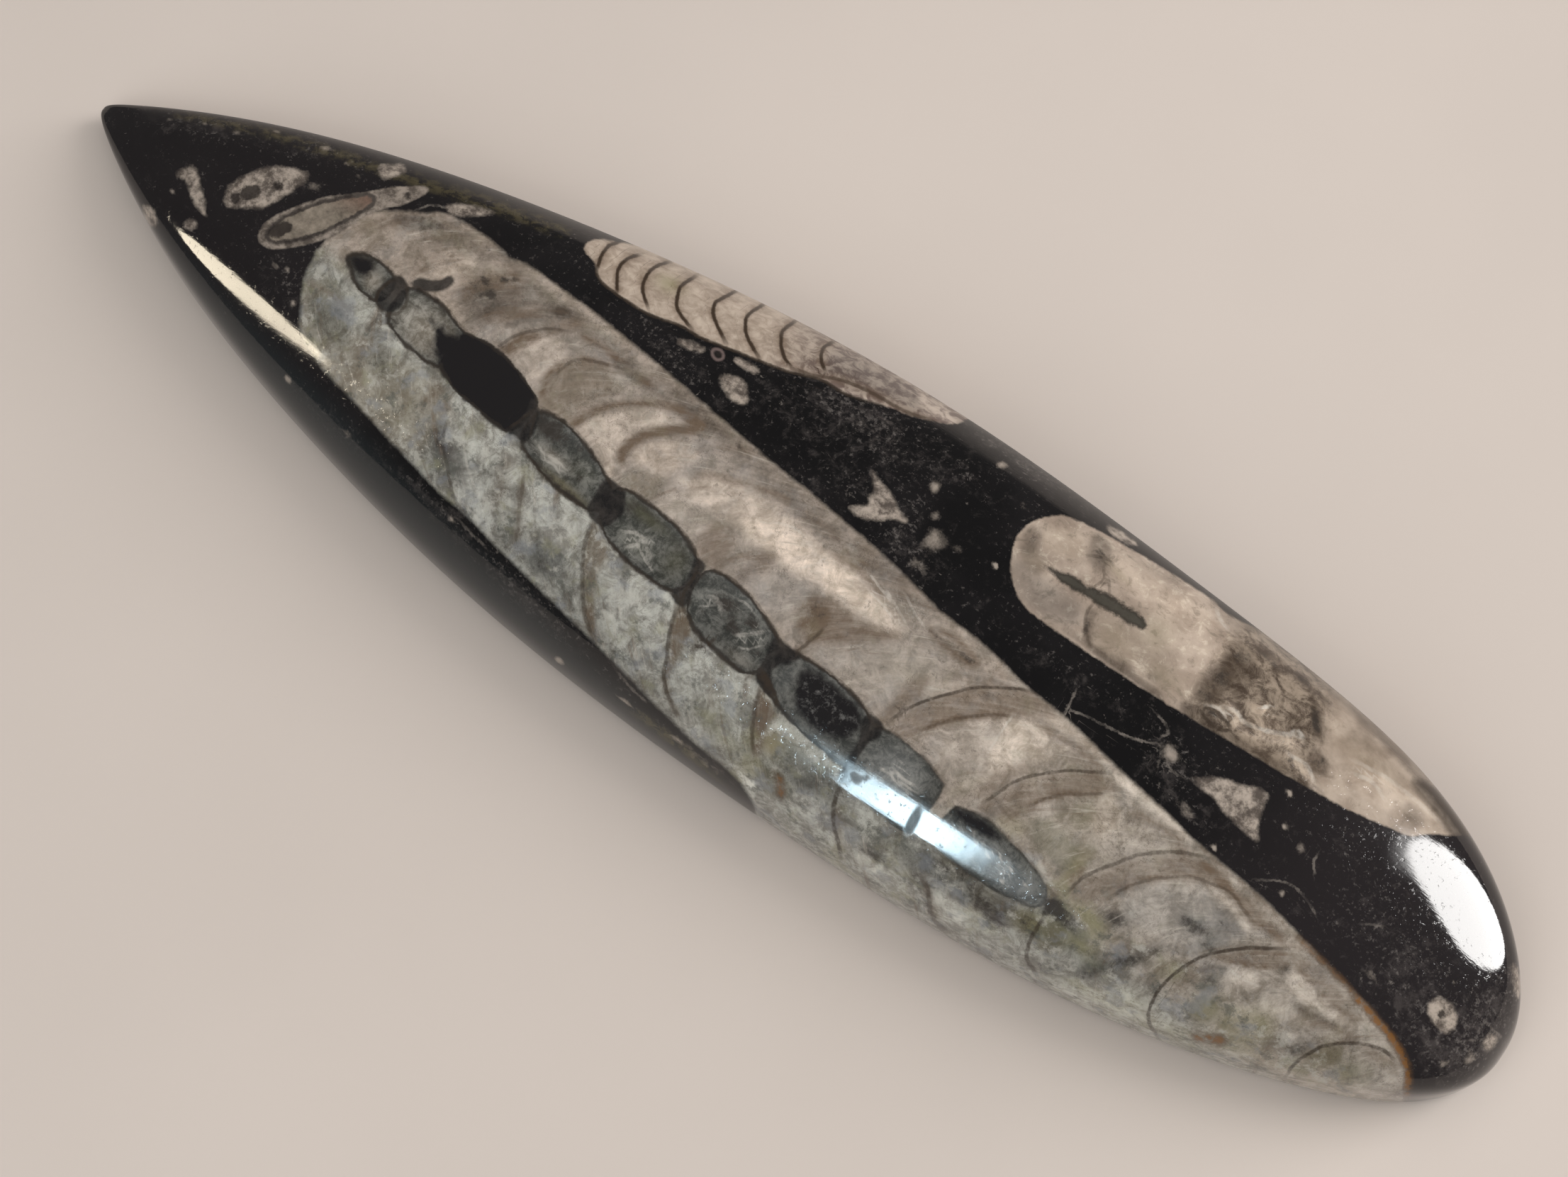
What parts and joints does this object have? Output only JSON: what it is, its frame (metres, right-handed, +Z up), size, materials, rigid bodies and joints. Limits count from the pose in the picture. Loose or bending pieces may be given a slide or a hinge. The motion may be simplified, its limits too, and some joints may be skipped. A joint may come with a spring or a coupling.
{
  "type": "orthoceras fossil",
  "caption": "Polished black limestone ground to a long leaf shape with a domed top, showing pale sliced orthoceras shells flush with the polish.",
  "frame": {"origin": "middle of the bounding box in plan, on the flat base", "axes": "+X from the pointed tip to the rounded end, +Z up from the base through the domed top"},
  "size_m": [0.18, 0.047, 0.018],
  "materials": {
    "limestone": "polished black limestone with pale grey and cream calcite fossils; sawn and honed matt underneath"
  },
  "bodies": {
    "root": {"orthoceras_stone": "limestone"}
  },
  "joints": []
}
